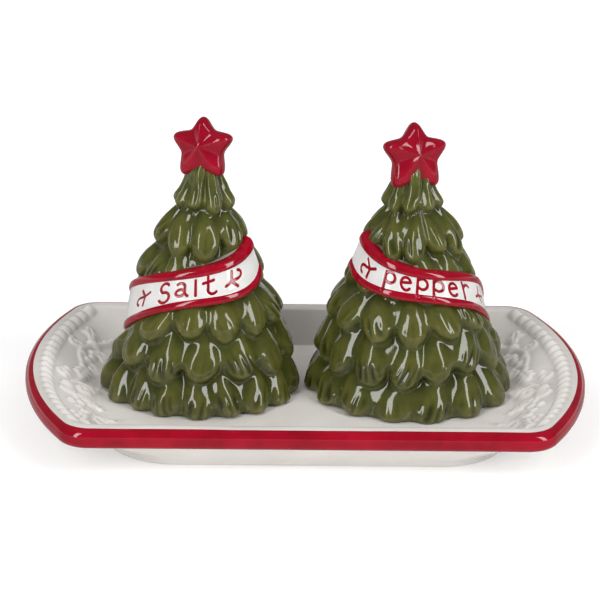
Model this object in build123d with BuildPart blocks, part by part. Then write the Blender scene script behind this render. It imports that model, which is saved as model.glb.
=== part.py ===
from build123d import *
from math import cos, radians, sin
import os

# Two fir-tree shakers, salt and pepper, that stand in a shallow serving tray.
#
# Millimetres, +Z up, +X along the tray, the front faces -Y.  The origin is on the
# table, under the middle of the tray's foot.  Each shaker is a hollow glazed tree with
# a star on top and a sash across its front, filled through a hole in its base that a
# soft stopper closes.

# --- tray -----------------------------------------------------------------------------
TRAY_LENGTH = 203.0
TRAY_WIDTH = 125.0
TRAY_END_RADIUS = 120.0      # the two ends bow outwards
TRAY_CORNER = 12.5
TRAY_HEIGHT = 18.3
RIM_THICK = 6.6
RIM_ROUND = 3.2
RIM_UNDERCUT = 4.4           # where the underside leaves the rim
WELL_DEPTH = 12.0
WELL_LIP_SIDE = 4.6          # flat lip between the rim's edge and the well
WELL_LIP_END = 6.4
WELL_TOP_CORNER = 9.0
FLOOR_SIDE = 15.0            # inset of the well's floor from the rim
FLOOR_END = 26.0
FLOOR_CORNER = 20.0
FOOT_SIDE = 13.0             # inset of the foot from the rim
FOOT_END = 25.5
FOOT_CORNER = 24.0
FOOT_HEIGHT = 2.0
FOOT_WIDTH = 5.0
BEADS_PER_END = 21           # plump beads around each end of the well
BEAD_PITCH = 5.0
BEAD_INSET = 8.0             # of the bead's middle from the rim's edge
BEAD_LENGTH = 6.4
BEAD_WIDTH = 4.4
BEAD_DROP = 2.5              # the bead's middle, below the top of the rim
OVERRUN = 1.0                # how far a cutter runs past the face that it cuts

# --- tree, measured from the tree's own base ------------------------------------------
TIER_HEIGHTS = (0.0, 12.5, 27.0, 41.0, 55.5, 69.0)
TIER_RADII = (37.2, 33.4, 29.0, 24.2, 19.0, 12.8)
LEAVES_PER_TIER = (16, 14, 13, 11, 9, 7)
TIP_CURL = 1.3               # the tip's lower edge curls in by this much
LEAF_BELLY = 3.0             # height of the leaf's widest place above its tip
LEAF_NOTCH = 2.0             # depth of the notch between two leaves
LEDGE = 2.2                  # how far a tier overhangs the one below
TIER_OVERLAP = 3.0
NECK_HEIGHT = 80.0
NECK_RADIUS = 6.4
APEX_HEIGHT = 87.5
APEX_RADIUS = 2.6
BASE_RECESS_RADIUS = 27.0
BASE_RECESS = 2.6
BASE_THICK = 3.9
CAVITY_RADIUS = 26.0         # at the cavity's floor
CAVITY_TOP_RADIUS = 5.2
CAVITY_TOP = 73.0
FILL_HOLE_RADIUS = 11.0
POUR_HOLE_RADIUS = 1.25
POUR_HOLE_HEIGHT = 71.5
POUR_HOLE_REACH = 16.0
POUR_HOLE_SPREAD = 28.0      # degrees between holes, around the tree's back

# --- star -----------------------------------------------------------------------------
STAR_INNER = 0.52            # inner radius over outer radius
STAR_RIM_THICK = 3.4
STAR_PEAK = 5.0              # the ridges meet this far from the star's middle plane
STAR_TIP_ROUND = 1.3
STAR_POINTS = 5

# --- sash: a band in a groove around the tree's front ---------------------------------
SASH_DIRECTIONS = (-80.0, -50.0, -25.0, 0.0, 30.0, 60.0, 86.0)   # degrees, climbing
SASH_THICK = 4.0
SASH_CUT = 12.0              # the groove's cutter reaches this far past the sash

# --- stopper --------------------------------------------------------------------------
PLUG_CLEARANCE = 0.05
PLUG_TOP = 9.5
PLUG_CROWN = 2.0             # thickness of the plug's closed upper end
PLUG_POCKET_RADIUS = 8.0
FLANGE_RADIUS = 13.4
FLANGE_THICK = 1.1
PULL_BAR = 2.4

# --- the two shakers ------------------------------------------------------------------
TREE_SPACING = 75.8
TREE_BACK = 11.0             # the trees stand this far behind the tray's middle
FLOOR_HEIGHT = TRAY_HEIGHT - WELL_DEPTH


class Shaker:
    """What differs between the two shakers."""

    def __init__(self, name, side, turn, leaf_phase, star, sash_cone, sash_tops, sash_bottoms, pour_holes):
        self.name = name
        self.side = side                  # -1 stands on the left, +1 on the right
        self.turn = turn                  # degrees that the front turns outwards
        self.leaf_phase = leaf_phase      # of the lowest tier, in leaf widths
        self.star_radius, self.star_height = star    # height of the star's middle
        self.sash_cone = sash_cone        # radius at the tree's base, and loss per mm of height
        self.sash_tops = sash_tops        # heights of the sash's edges in each direction
        self.sash_bottoms = sash_bottoms
        self.pour_holes = pour_holes

    def sash_radius(self, height):
        """Radius of the sash's outer surface."""
        radius, taper = self.sash_cone
        return radius - taper * height

    def seat(self, height=0.0):
        """Level plane at a height above the tree's base; its x axis is the tree's right."""
        angle = radians(self.side * self.turn)
        return Plane(
            origin=(self.side * TREE_SPACING / 2, TREE_BACK, FLOOR_HEIGHT + height),
            x_dir=(cos(angle), sin(angle), 0),
            z_dir=(0, 0, 1),
        )

    def upright(self, direction):
        """Upright plane through the tree's axis; its x axis is at an angle from the right."""
        seat = self.seat()
        outward = seat.x_dir.rotate(Axis.Z, direction)
        return Plane(origin=seat.origin, x_dir=outward, z_dir=outward.cross(Vector(0, 0, 1)))


SHAKERS = (
    Shaker(
        "salt", -1, 20.0, 0.5, (12.7, 91.4), (32.2, 0.215),
        (37.0, 44.3, 49.0, 51.6, 53.3, 56.2, 59.2),
        (17.8, 26.0, 33.8, 37.8, 39.7, 42.0, 46.3), 3,
    ),
    Shaker(
        "pepper", 1, 18.0, 0.0, (13.7, 88.9), (34.6, 0.262),
        (38.5, 46.6, 51.2, 52.5, 53.9, 57.8, 60.0),
        (20.5, 32.0, 38.3, 41.0, 42.4, 44.3, 46.6), 2,
    ),
)


def polar(radius, angle):
    return Vector(radius * cos(radians(angle)), radius * sin(radians(angle)), 0)


# --- tray -----------------------------------------------------------------------------
def tray_outline(side_inset, end_inset, corner):
    """Straight long sides, bowed ends and round corners, inset from the rim's edge."""
    end_centre = TRAY_LENGTH / 2 - TRAY_END_RADIUS
    Rectangle(TRAY_LENGTH + 2 * OVERRUN, TRAY_WIDTH - 2 * side_inset)
    for centre in (end_centre, -end_centre):
        with Locations((centre, 0)):
            Circle(TRAY_END_RADIUS - end_inset, mode=Mode.INTERSECT)
    fillet(vertices(), corner)


def wall_inset(at_top, at_floor, height):
    """Inset of the well's straight wall at a height above the table."""
    return at_top + (at_floor - at_top) * (TRAY_HEIGHT - height) / WELL_DEPTH


def bead_plane(end, angle):
    """Plane at one bead: x points out of the well, z runs along the row of beads."""
    end_centre = TRAY_LENGTH / 2 - TRAY_END_RADIUS
    outward = Vector(end * cos(angle), sin(angle), 0)
    middle = Vector(end * end_centre, 0, TRAY_HEIGHT - BEAD_DROP)
    return Plane(
        origin=middle + outward * (TRAY_END_RADIUS - BEAD_INSET),
        x_dir=outward,
        z_dir=outward.cross(Vector(0, 0, 1)),
    )


def build_tray():
    rim_bottom = TRAY_HEIGHT - RIM_THICK
    with BuildPart() as tray:
        with BuildSketch(Plane.XY.offset(rim_bottom)):
            tray_outline(0, 0, TRAY_CORNER)
        extrude(amount=RIM_THICK)
        rim_edges = edges().filter_by(Plane.XY)
        fillet(rim_edges, RIM_ROUND)
        with BuildSketch(Plane.XY.offset(FOOT_HEIGHT)):
            tray_outline(FOOT_SIDE, FOOT_END, FOOT_CORNER)
        with BuildSketch(Plane.XY.offset(rim_bottom + OVERRUN)):
            tray_outline(RIM_UNDERCUT, RIM_UNDERCUT, TRAY_CORNER)
        loft(ruled=True)
        with BuildSketch():
            tray_outline(FOOT_SIDE, FOOT_END, FOOT_CORNER)
        extrude(amount=FOOT_HEIGHT)
        with BuildSketch():
            tray_outline(FOOT_SIDE + FOOT_WIDTH, FOOT_END + FOOT_WIDTH, FOOT_CORNER - FOOT_WIDTH)
        extrude(amount=FOOT_HEIGHT, mode=Mode.SUBTRACT)
        above = TRAY_HEIGHT + OVERRUN
        with BuildSketch(Plane.XY.offset(FLOOR_HEIGHT)):
            tray_outline(FLOOR_SIDE, FLOOR_END, FLOOR_CORNER)
        with BuildSketch(Plane.XY.offset(above)):
            side = wall_inset(WELL_LIP_SIDE, FLOOR_SIDE, above)
            end = wall_inset(WELL_LIP_END, FLOOR_END, above)
            tray_outline(side, end, WELL_TOP_CORNER)
        loft(ruled=True, mode=Mode.SUBTRACT)
        bead_step = BEAD_PITCH / (TRAY_END_RADIUS - BEAD_INSET)
        for end in (1, -1):
            for number in range(BEADS_PER_END):
                angle = (number - (BEADS_PER_END - 1) / 2) * bead_step
                plane = bead_plane(end, angle)
                with BuildSketch(plane):
                    Ellipse(BEAD_LENGTH / 2, BEAD_WIDTH / 2)
                    with Locations((0, -BEAD_WIDTH / 2)):
                        Rectangle(BEAD_LENGTH + OVERRUN, BEAD_WIDTH, mode=Mode.SUBTRACT)
                revolve(axis=Axis(plane.origin, plane.x_dir))
    return tray


# --- tree -----------------------------------------------------------------------------
def leaf_arcs(radius, leaves, phase):
    """Outline of one tier: the ends and the crown of each leaf's arc, notch to notch."""
    step = 360 / leaves
    inner = radius - LEAF_NOTCH * radius / TIER_RADII[0]
    for number in range(leaves):
        start = (number + phase) * step
        yield polar(inner, start), polar(radius, start + step / 2), polar(inner, start + step)


def build_tree(shaker, star, band):
    tiers = len(TIER_HEIGHTS)
    with BuildPart() as tree:
        for tier, (height, leaves) in enumerate(zip(TIER_HEIGHTS, LEAVES_PER_TIER)):
            last = tier == tiers - 1
            belly = TIER_RADII[tier]
            top = NECK_HEIGHT if last else TIER_HEIGHTS[tier + 1] + TIER_OVERLAP
            top_radius = NECK_RADIUS if last else TIER_RADII[tier + 1] - LEDGE
            phase = shaker.leaf_phase + tier / 2
            for level, radius in (
                (height, belly - TIP_CURL),
                (height + LEAF_BELLY, belly),
                (top, top_radius),
            ):
                with BuildSketch(shaker.seat(level)):
                    with BuildLine():
                        for arc in leaf_arcs(radius, leaves, phase):
                            ThreePointArc(*arc)
                    make_face()
            loft(ruled=True)
        with BuildSketch(shaker.upright(0)):
            with BuildLine():
                Polyline(
                    (0, NECK_HEIGHT - TIER_OVERLAP),
                    (NECK_RADIUS, NECK_HEIGHT - TIER_OVERLAP),
                    (NECK_RADIUS - LEAF_NOTCH / 2, NECK_HEIGHT),
                    (APEX_RADIUS, APEX_HEIGHT),
                    (0, APEX_HEIGHT + APEX_RADIUS / 2),
                    close=True,
                )
            make_face()
        revolve(axis=Axis(shaker.seat().origin, (0, 0, 1)))
        with BuildSketch(shaker.upright(0)):
            with BuildLine():
                Polyline(
                    (0, BASE_RECESS + BASE_THICK),
                    (CAVITY_RADIUS, BASE_RECESS + BASE_THICK),
                    (CAVITY_TOP_RADIUS, CAVITY_TOP - CAVITY_TOP_RADIUS),
                    (0, CAVITY_TOP),
                    close=True,
                )
            make_face()
        revolve(axis=Axis(shaker.seat().origin, (0, 0, 1)), mode=Mode.SUBTRACT)
        with BuildSketch(shaker.seat()):
            Circle(BASE_RECESS_RADIUS)
        extrude(amount=BASE_RECESS, mode=Mode.SUBTRACT)
        with BuildSketch(shaker.seat(BASE_RECESS - OVERRUN)):
            Circle(FILL_HOLE_RADIUS)
        extrude(amount=BASE_THICK + 2 * OVERRUN, mode=Mode.SUBTRACT)
        for number in range(shaker.pour_holes):
            direction = 90 + (number - (shaker.pour_holes - 1) / 2) * POUR_HOLE_SPREAD
            outward = shaker.upright(direction).x_dir
            centre = shaker.seat(POUR_HOLE_HEIGHT).origin
            with BuildSketch(Plane(origin=centre, x_dir=(0, 0, 1), z_dir=outward)):
                Circle(POUR_HOLE_RADIUS)
            extrude(amount=POUR_HOLE_REACH, mode=Mode.SUBTRACT)
        add(star.part, mode=Mode.SUBTRACT)
        add(band.part, mode=Mode.SUBTRACT)
    return tree


# --- star -----------------------------------------------------------------------------
def build_star(shaker):
    """Puffy star: a thin five-pointed slab with a ridged pyramid on each face."""
    front = shaker.upright(-90).x_dir
    centre = shaker.seat(shaker.star_height).origin
    with BuildPart() as star:
        for facing in (front, -front):
            face_plane = Plane(origin=centre, x_dir=facing.cross(Vector(0, 0, -1)), z_dir=facing)
            with BuildSketch(face_plane) as outline:
                star_outline(shaker.star_radius)
            extrude(amount=STAR_RIM_THICK / 2)
            with BuildSketch(face_plane.offset(STAR_RIM_THICK / 2)) as shoulder:
                star_outline(shaker.star_radius)
            peak = Vertex(*tuple(centre + facing * STAR_PEAK))
            loft(sections=[shoulder.sketch.face(), peak], ruled=True)
    return star


def star_outline(radius):
    step = 180 / STAR_POINTS
    corners = [
        polar(radius * (1 if number % 2 == 0 else STAR_INNER), 90 + number * step)
        for number in range(2 * STAR_POINTS)
    ]
    Polygon(*corners, align=None)
    tips = vertices().sort_by(lambda v: v.distance_to(Vertex(0, 0, 0)))[-STAR_POINTS:]
    fillet(tips, STAR_TIP_ROUND)


# --- sash -----------------------------------------------------------------------------
def build_sash_band(shaker):
    """The sash's band, reaching outwards past the leaves: it cuts the sash's groove."""
    climb = -shaker.side                 # the sash climbs towards the other shaker
    stations = list(zip(SASH_DIRECTIONS, shaker.sash_tops, shaker.sash_bottoms))
    with BuildPart() as band:
        for direction, top, bottom in stations:
            with BuildSketch(shaker.upright(climb * direction - 90)):
                with BuildLine():
                    Polyline(
                        (shaker.sash_radius(bottom) - SASH_THICK, bottom),
                        (shaker.sash_radius(bottom) + SASH_CUT, bottom),
                        (shaker.sash_radius(top) + SASH_CUT, top),
                        (shaker.sash_radius(top) - SASH_THICK, top),
                        close=True,
                    )
                make_face()
        loft()
    return band


def build_sash(shaker, band):
    with BuildPart() as sash:
        add(band.part)
        with BuildSketch(shaker.upright(0)):
            with BuildLine():
                Polyline(
                    (0, 0),
                    (shaker.sash_radius(0), 0),
                    (shaker.sash_radius(NECK_HEIGHT), NECK_HEIGHT),
                    (0, NECK_HEIGHT),
                    close=True,
                )
            make_face()
        revolve(axis=Axis(shaker.seat().origin, (0, 0, 1)), mode=Mode.INTERSECT)
    return sash


# --- stopper --------------------------------------------------------------------------
def build_stopper(shaker):
    plug_radius = FILL_HOLE_RADIUS - PLUG_CLEARANCE
    flange_bottom = BASE_RECESS - FLANGE_THICK
    pocket_depth = PLUG_TOP - PLUG_CROWN - flange_bottom
    with BuildPart() as stopper:
        with BuildSketch(shaker.seat(flange_bottom)):
            Circle(FLANGE_RADIUS)
        extrude(amount=FLANGE_THICK)
        with BuildSketch(shaker.seat(BASE_RECESS)):
            Circle(plug_radius)
        extrude(amount=PLUG_TOP - BASE_RECESS)
        with BuildSketch(shaker.seat(flange_bottom)):
            Circle(PLUG_POCKET_RADIUS)
            Rectangle(2 * PLUG_POCKET_RADIUS, PULL_BAR, mode=Mode.SUBTRACT)
        extrude(amount=pocket_depth, mode=Mode.SUBTRACT)
    return stopper


# --- make and write every piece -------------------------------------------------------
def write(piece, node):
    piece.part.label = node
    export_step(piece.part, f"parts/{node}.step")


os.makedirs("parts", exist_ok=True)
tray = build_tray()
write(tray, "tray")
for shaker in SHAKERS:
    star = build_star(shaker)
    write(star, f"{shaker.name}_star")
    band = build_sash_band(shaker)
    tree = build_tree(shaker, star, band)
    write(tree, f"{shaker.name}_tree")
    sash = build_sash(shaker, band)
    write(sash, f"{shaker.name}_banner")
    stopper = build_stopper(shaker)
    write(stopper, f"{shaker.name}_stopper")
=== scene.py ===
from math import cos, pi, radians, sin

import bpy
import numpy as np
from mathutils import Matrix, Vector


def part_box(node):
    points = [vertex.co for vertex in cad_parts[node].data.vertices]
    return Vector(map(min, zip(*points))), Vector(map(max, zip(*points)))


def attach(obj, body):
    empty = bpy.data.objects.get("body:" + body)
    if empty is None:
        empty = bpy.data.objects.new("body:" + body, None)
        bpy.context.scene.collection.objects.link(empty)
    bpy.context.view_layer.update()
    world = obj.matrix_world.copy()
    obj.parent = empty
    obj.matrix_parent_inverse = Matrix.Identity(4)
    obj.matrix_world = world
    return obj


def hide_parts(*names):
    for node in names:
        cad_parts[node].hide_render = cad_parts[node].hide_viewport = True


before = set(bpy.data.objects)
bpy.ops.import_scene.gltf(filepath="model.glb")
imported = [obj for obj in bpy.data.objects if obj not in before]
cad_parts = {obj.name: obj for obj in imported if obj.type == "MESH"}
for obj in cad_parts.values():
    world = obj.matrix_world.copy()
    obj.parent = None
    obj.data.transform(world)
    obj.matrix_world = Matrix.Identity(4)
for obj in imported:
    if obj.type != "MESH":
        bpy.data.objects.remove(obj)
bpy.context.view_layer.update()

# Shapes are worked out in millimetres and turned to metres when a mesh or camera is made.
MM = 0.001

# --- the frame's own places -----------------------------------------------------------
FLOOR_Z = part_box("salt_tree")[0].z / MM
tray_low, tray_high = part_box("tray")
TRAY_LENGTH = (tray_high.x - tray_low.x) / MM
TRAY_WIDTH = (tray_high.y - tray_low.y) / MM
TRAY_TOP = tray_high.z / MM


def smooth_step(low, high, value):
    t = np.clip((value - low) / (high - low), 0, 1)
    return t * t * (3 - 2 * t)


def blur(field, across, along):
    """Gaussian blur of a grid, by standard deviations in cells; its columns wrap around."""
    for axis, sigma, edge in ((0, across, "edge"), (1, along, "wrap")):
        reach = max(1, int(3 * sigma + 0.5))
        weights = np.exp(-0.5 * (np.arange(-reach, reach + 1) / sigma) ** 2)
        weights /= weights.sum()
        margins = [(0, 0), (0, 0)]
        margins[axis] = (reach, reach)
        padded = np.pad(field, margins, mode=edge)
        size = field.shape[axis]
        field = sum(
            w * np.take(padded, np.arange(k, k + size), axis) for k, w in enumerate(weights)
        )
    return field


def value_noise(rng, x, y, cell):
    """Smooth noise from -1 to 1 over a plane, with features about one cell across."""
    size = 64
    table = rng.uniform(-1, 1, (size, size))
    gx, gy = x / cell, y / cell
    ix, iy = np.floor(gx).astype(int), np.floor(gy).astype(int)
    fx, fy = gx - ix, gy - iy
    fx, fy = fx * fx * (3 - 2 * fx), fy * fy * (3 - 2 * fy)

    def corner(a, b):
        return table[(ix + a) % size, (iy + b) % size]

    low = corner(0, 0) * (1 - fx) + corner(1, 0) * fx
    high = corner(0, 1) * (1 - fx) + corner(1, 1) * fx
    return low * (1 - fy) + high * fy


# --- mesh helpers ---------------------------------------------------------------------
def grid_faces(rows, columns, wrap, start=0, flip=False):
    """Quads between the rows of a grid of points, closed around the columns if wrap."""
    row = np.arange(rows - 1)[:, None]
    column = np.arange(columns if wrap else columns - 1)[None, :]
    following = (column + 1) % columns
    a = row * columns + column
    b = row * columns + following
    c = b + columns
    d = a + columns
    order = (a, d, c, b) if flip else (a, b, c, d)
    return start + np.stack([part.ravel() for part in order], 1)


def fan_faces(ring, centre, flip=False):
    """Triangles from a ring of points to one point in its middle."""
    following = np.roll(ring, -1)
    hub = np.full(len(ring), centre)
    return np.stack([following, ring, hub] if flip else [ring, following, hub], 1)


def make_piece(name, points, faces, material, body, node, attributes):
    """A smooth mesh piece that rides on a body and stands for a CAD node."""
    mesh = bpy.data.meshes.new(name)
    mesh.from_pydata((points * MM).tolist(), [], [f for part in faces for f in part.tolist()])
    mesh.validate()
    for key, values in attributes.items():
        layer = mesh.attributes.new(key, "FLOAT", "POINT")
        layer.data.foreach_set("value", np.asarray(values, np.float32).ravel())
    mesh.polygons.foreach_set("use_smooth", [True] * len(mesh.polygons))
    mesh.materials.append(material)
    mesh.update()
    piece = bpy.data.objects.new(name, mesh)
    bpy.context.scene.collection.objects.link(piece)
    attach(piece, body)
    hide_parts(node)


# --- materials ------------------------------------------------------------------------
BLACK = (0, 0, 0, 1)
WHITE = (1, 1, 1, 1)


def linear(red, green, blue):
    """A colour given in sRGB from 0 to 255, as the linear numbers that shaders take."""
    parts = [c / 255 for c in (red, green, blue)]
    return [c / 12.92 if c <= 0.04045 else ((c + 0.055) / 1.055) ** 2.4 for c in parts] + [1]


def add_node(tree, kind, inputs=None, **settings):
    """A node with its settings, and its inputs linked to sockets or given as values."""
    made = tree.nodes.new(kind)
    for key, value in settings.items():
        setattr(made, key, value)
    for key, value in (inputs or {}).items():
        if isinstance(value, bpy.types.NodeSocket):
            tree.links.new(value, made.inputs[key])
        else:
            made.inputs[key].default_value = value
    return made


def add_ramp(tree, factor, stops):
    """A colour ramp through pairs of a position and a colour."""
    made = add_node(tree, "ShaderNodeValToRGB", {"Fac": factor})
    elements = made.color_ramp.elements
    while len(elements) < len(stops):
        elements.new(0.5)
    for element, (position, colour) in zip(elements, stops):
        element.position = position
        element.color = colour
    return made.outputs["Color"]


class Shader:
    """A node material with one Principled shader and short ways to add nodes."""

    def __init__(self, name, **sockets):
        self.material = bpy.data.materials.new(name)
        self.material.use_nodes = True
        self.tree = self.material.node_tree
        self.shader = self.tree.nodes["Principled BSDF"]
        for key, value in sockets.items():
            self.shader.inputs[key.replace("_", " ")].default_value = value

    def node(self, kind, inputs=None, **settings):
        return add_node(self.tree, kind, inputs, **settings)

    def to_shader(self, socket, key):
        self.tree.links.new(socket, self.shader.inputs[key])

    def attribute(self, name):
        return self.node("ShaderNodeAttribute", attribute_name=name).outputs["Fac"]

    def place(self):
        return self.node("ShaderNodeTexCoord").outputs["Object"]

    def noise(self, scale, detail=3.0, roughness=0.5):
        inputs = {"Vector": self.place(), "Scale": scale, "Detail": detail, "Roughness": roughness}
        return self.node("ShaderNodeTexNoise", inputs).outputs["Fac"]

    def ramp(self, factor, stops):
        return add_ramp(self.tree, factor, stops)

    def math(self, operation, a, b=0.0, clamp=False):
        made = self.node("ShaderNodeMath", {0: a, 1: b}, operation=operation, use_clamp=clamp)
        return made.outputs["Value"]

    def mix(self, factor, a, b, blend="MIX"):
        inputs = {0: factor, 6: a, 7: b}
        made = self.node("ShaderNodeMix", inputs, data_type="RGBA", blend_type=blend)
        return made.outputs[2]

    def thinness(self, scale, amount):
        """How thin the glaze lies: thin on proud places, with some clouds."""
        cloud = self.math("SUBTRACT", self.noise(scale, 4.0, 0.6), 0.5)
        cloud = self.math("MULTIPLY", cloud, amount)
        return self.math("ADD", self.attribute("relief"), cloud, clamp=True)

    def paint_mask(self, softness):
        """White where a point carries paint, with a short step to black where it doesn't."""
        return self.ramp(self.attribute("paint"), ((0.5 - softness, BLACK), (0.5 + softness, WHITE)))

    def bump(self, height, distance, strength):
        inputs = {"Height": height, "Distance": distance, "Strength": strength}
        self.to_shader(self.node("ShaderNodeBump", inputs).outputs["Normal"], "Normal")


def glaze_gloss(shader, low, high):
    """Gloss that wanders a little over the glaze."""
    wander = shader.noise(90.0, 2.0)
    gloss = shader.node("ShaderNodeMapRange", {"Value": wander, "To Min": low, "To Max": high})
    shader.to_shader(gloss.outputs["Result"], "Roughness")


def green_glaze():
    """Olive glaze: dark where it pools in hollows, thin and yellowish over edges."""
    shader = Shader("green_glaze", IOR=1.5)
    colour = shader.ramp(
        shader.thinness(160.0, 0.55),
        (
            (0.0, linear(44, 46, 16)),
            (0.35, linear(67, 71, 29)),
            (0.6, linear(86, 86, 39)),
            (0.85, linear(112, 104, 52)),
            (1.0, linear(140, 126, 76)),
        ),
    )
    shader.to_shader(colour, "Base Color")
    glaze_gloss(shader, 0.05, 0.12)
    shader.bump(shader.noise(420.0, 2.0), 0.0002, 0.15)
    return shader.material


def red_over(shader, colour, painted, streak_scale):
    """Hand-painted red glaze over another colour, a little uneven where it was brushed."""
    streak = shader.noise(streak_scale, 4.0, 0.6)
    stops = ((0.2, linear(120, 1, 22)), (0.55, linear(148, 3, 30)), (0.85, linear(166, 12, 40)))
    return shader.mix(painted, colour, shader.ramp(streak, stops))


def star_glaze():
    """Deep red glaze, paler where it lies thin over the ridges."""
    shader = Shader("star_glaze", IOR=1.46)
    colour = shader.ramp(
        shader.thinness(200.0, 0.5),
        (
            (0.0, linear(96, 2, 18)),
            (0.45, linear(138, 5, 30)),
            (0.8, linear(160, 18, 44)),
            (1.0, linear(190, 58, 74)),
        ),
    )
    shader.to_shader(colour, "Base Color")
    glaze_gloss(shader, 0.05, 0.11)
    shader.bump(shader.noise(500.0, 2.0), 0.0002, 0.12)
    return shader.material


def white_body(shader, scale, darker=0):
    """White glaze that drifts between two close tones."""
    low = linear(224 - darker, 222 - darker, 219 - darker)
    high = linear(233 - darker, 232 - darker, 230 - darker)
    return shader.ramp(shader.noise(scale, 3.0), ((0.3, low), (0.7, high)))


def sash_glaze():
    """White field with red borders and red lettering, by how much paint a point carries."""
    shader = Shader("sash_glaze", IOR=1.5)
    white = white_body(shader, 120.0, 12)
    shader.to_shader(red_over(shader, white, shader.paint_mask(0.08), 260.0), "Base Color")
    glaze_gloss(shader, 0.05, 0.10)
    shader.bump(shader.noise(380.0, 2.0), 0.0002, 0.1)
    return shader.material


def tray_glaze():
    """White glaze, greyer where it pools, with a red band around the outside of the rim."""
    shader = Shader("tray_glaze", IOR=1.5)
    pooled = shader.ramp(
        shader.attribute("relief"),
        ((0.0, linear(190, 187, 182)), (0.5, linear(245, 242, 239)), (1.0, linear(255, 255, 253))),
    )
    white = shader.mix(1.0, white_body(shader, 60.0), pooled, "MULTIPLY")
    shader.to_shader(red_over(shader, white, shader.paint_mask(0.06), 90.0), "Base Color")
    glaze_gloss(shader, 0.05, 0.10)
    shader.bump(shader.noise(220.0, 2.0), 0.0003, 0.08)
    return shader.material


def stopper_plastic():
    """Soft, slightly translucent white plastic."""
    shader = Shader("stopper_plastic", Subsurface_Weight=0.3, Subsurface_Scale=0.004)
    shader.shader.inputs["Subsurface Radius"].default_value = (1.0, 0.9, 0.8)
    cloud = shader.noise(300.0, 4.0)
    colour = shader.ramp(cloud, ((0.3, linear(222, 221, 214)), (0.7, linear(236, 236, 230))))
    shader.to_shader(colour, "Base Color")
    glaze_gloss(shader, 0.38, 0.5)
    shader.bump(shader.noise(1500.0, 3.0), 0.0001, 0.3)
    return shader.material


# --- the shakers ----------------------------------------------------------------------
# Heights count from a tree's base, and tiers from the lowest to the highest.
TIER_HEIGHTS = (0.0, 12.5, 27.0, 41.0, 55.5, 69.0)
TIER_RADII = (36.6, 33.4, 29.7, 23.8, 18.0, 11.7)
TOP_TIER = len(TIER_HEIGHTS) - 1
TIER_OVERLAP = 1.0           # how far a tier runs up behind the one above
TIER_STRAIGHT = 0.42         # share of a tier's taper that is straight
TIER_BEND = 1.9              # power by which the rest draws in towards its upper end
LEAF_BELLY = 3.0             # height of a tier's widest place above its leaf tips
LEDGE = 2.5                  # how far a tier overhangs the one below
APEX = 87.5
# Height and radius of the highest tier, and of the body behind the leaves.
NECK = ((72.2, 11.7), (75.5, 9.3), (80.0, 7.3), (84.5, 6.0), (APEX, 3.4))
CORE = (
    (0.0, 32.5), (12.5, 28.6), (27.0, 23.9), (41.0, 19.4), (55.5, 13.4), (69.0, 7.9), (80.0, 5.0),
    (APEX, 2.7),
)
CROWN_RISE = 0.8             # of the closed top, which the star covers, above the apex
SEGMENTS = 500
ROWS = 175
CAVITY_PROFILE = (           # radius and height of rings from the foot up the chamber's wall
    (27.9, 0.0), (27.2, 0.25), (27.0, 0.8), (27.0, 2.2), (26.6, 2.6), (11.5, 2.6), (11.05, 3.0),
    (11.0, 6.0), (11.4, 6.5), (25.6, 6.5), (26.0, 6.9), (15.6, 37.0), (5.2, 67.8), (0.8, 72.6),
)
CAVITY_TOP = 73.0
POUR_HOLE_RADIUS = 1.25
POUR_HOLE_HEIGHT = 71.5
POUR_HOLE_SPREAD = radians(28.0)
POUR_HOLE_FLOOR = 3.0        # distance of a hole's inner end from the tree's axis
POUR_HOLE_EDGE = 0.35        # half the width of a hole's rounded edge
SASH_DIRECTIONS = (-80.0, -50.0, -25.0, 0.0, 30.0, 60.0, 86.0)   # degrees, climbing
SASH_REACH = (radians(-92), radians(100))   # the sash's edges keep their height past these


class Shaker:
    """One shaker's own sizes, and places counted from its axis and its front."""

    def __init__(
        self, name, side, turn, layout, star, sash_curve, sash_tops, sash_bottoms, sash_ends,
        pour_holes, seed, girth,
    ):
        self.name = name
        self.side = side                  # -1 on the left and 1 on the right
        self.turn = radians(side * turn)
        self.layout = layout              # each tier's leaves, and one leaf's direction
        self.star_radius, self.star_height, self.star_lean, self.star_roll = star
        self.sash_curve = sash_curve
        self.pour_holes = pour_holes
        self.radii = [radius + more for radius, more in zip(TIER_RADII, girth)]
        directions, degree = np.radians(SASH_DIRECTIONS), 4
        self.sash_top = np.polyfit(directions, sash_tops, degree)
        self.sash_bottom = np.polyfit(directions, sash_bottoms, degree)
        self.sash_ends = [radians(end) for end in sash_ends]
        self.rng = np.random.default_rng(seed)
        low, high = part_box(f"{name}_stopper")
        self.axis = (low + high) / 2 / MM

    def body(self):
        return f"{self.name}_shaker"

    def place(self, x, y, z):
        """Points given from the tree's own base and front, in the row frame."""
        c, s = cos(self.turn), sin(self.turn)
        x, y, z = np.broadcast_arrays(x, y, z)
        return np.stack([self.axis.x + x * c - y * s, self.axis.y + x * s + y * c, FLOOR_Z + z], -1)

    def around(self, direction, radius, height):
        """The same, by direction: 0 is the front, and positive turns to the tree's right."""
        return self.place(radius * np.sin(direction), -radius * np.cos(direction), height)

    def climb(self, direction):
        """Direction counted from the front towards the end of the sash that climbs."""
        turned = (direction + pi) % (2 * pi) - pi
        return -self.side * turned

    def sash_edges(self, climb):
        """Heights of the sash's upper and lower edge."""
        inside = np.clip(climb, *SASH_REACH)
        return np.polyval(self.sash_top, inside), np.polyval(self.sash_bottom, inside)

    def sash_radius(self, height):
        """Radius of the sash's white field, which is nearly upright low down."""
        base, rise, fall = self.sash_curve
        return base + rise * height - fall * height ** 2


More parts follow.
